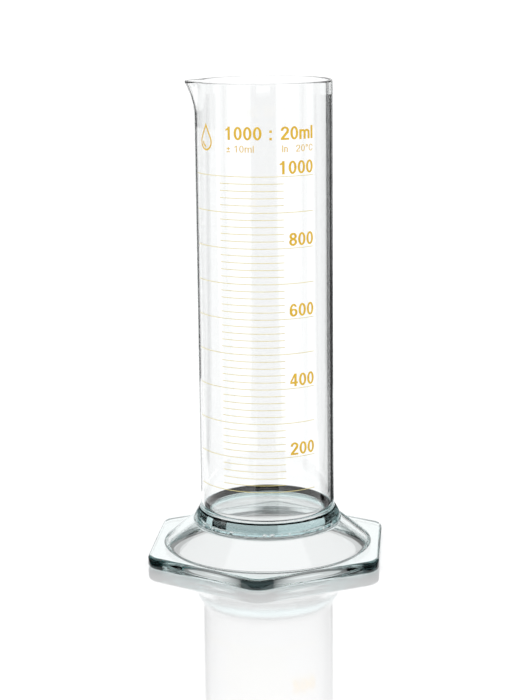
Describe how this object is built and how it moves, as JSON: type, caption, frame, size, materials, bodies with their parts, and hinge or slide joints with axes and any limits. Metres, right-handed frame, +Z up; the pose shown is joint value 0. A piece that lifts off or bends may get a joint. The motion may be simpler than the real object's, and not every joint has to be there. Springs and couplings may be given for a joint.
{
  "type": "graduated cylinder",
  "caption": "Low-form clear glass measuring cylinder with a pouring spout, an amber volume scale and a wide hexagonal foot.",
  "frame": {"origin": "on the vessel's axis, at the level of the surface that the foot stands on", "axes": "+Z up along the vessel's axis; -Y faces the scale; -X points the way the spout pours"},
  "size_m": [0.1446, 0.1568, 0.2887],
  "materials": {
    "vessel_glass": "clear, polished",
    "seal_glass": "clear with a teal tint where it is thick",
    "foot_glass": "pressed, clear with a teal tint at its edges",
    "figure_enamel": "fired amber enamel, satin",
    "line_enamel": "fired amber enamel, thin, satin"
  },
  "bodies": {
    "root": {"capacity_legend": "figure_enamel", "drop_mark": "figure_enamel", "hexagonal_foot": "foot_glass", "line_1000_ml": "line_enamel", "line_100_ml": "line_enamel", "line_200_ml": "line_enamel", "line_300_ml": "line_enamel", "line_400_ml": "line_enamel", "line_500_ml": "line_enamel", "line_600_ml": "line_enamel", "line_700_ml": "line_enamel", "line_800_ml": "line_enamel", "line_900_ml": "line_enamel", "measuring_vessel": "vessel_glass", "minor_lines_100_to_200_ml": "line_enamel", "minor_lines_200_to_300_ml": "line_enamel", "minor_lines_300_to_400_ml": "line_enamel", "minor_lines_400_to_500_ml": "line_enamel", "minor_lines_500_to_600_ml": "line_enamel", "minor_lines_600_to_700_ml": "line_enamel", "minor_lines_700_to_800_ml": "line_enamel", "minor_lines_800_to_900_ml": "line_enamel", "minor_lines_900_to_1000_ml": "line_enamel", "numeral_1000": "figure_enamel", "numeral_200": "figure_enamel", "numeral_400": "figure_enamel", "numeral_600": "figure_enamel", "numeral_800": "figure_enamel", "seal_collar": "seal_glass", "temperature_legend": "figure_enamel", "tolerance_legend": "figure_enamel"}
  },
  "joints": []
}
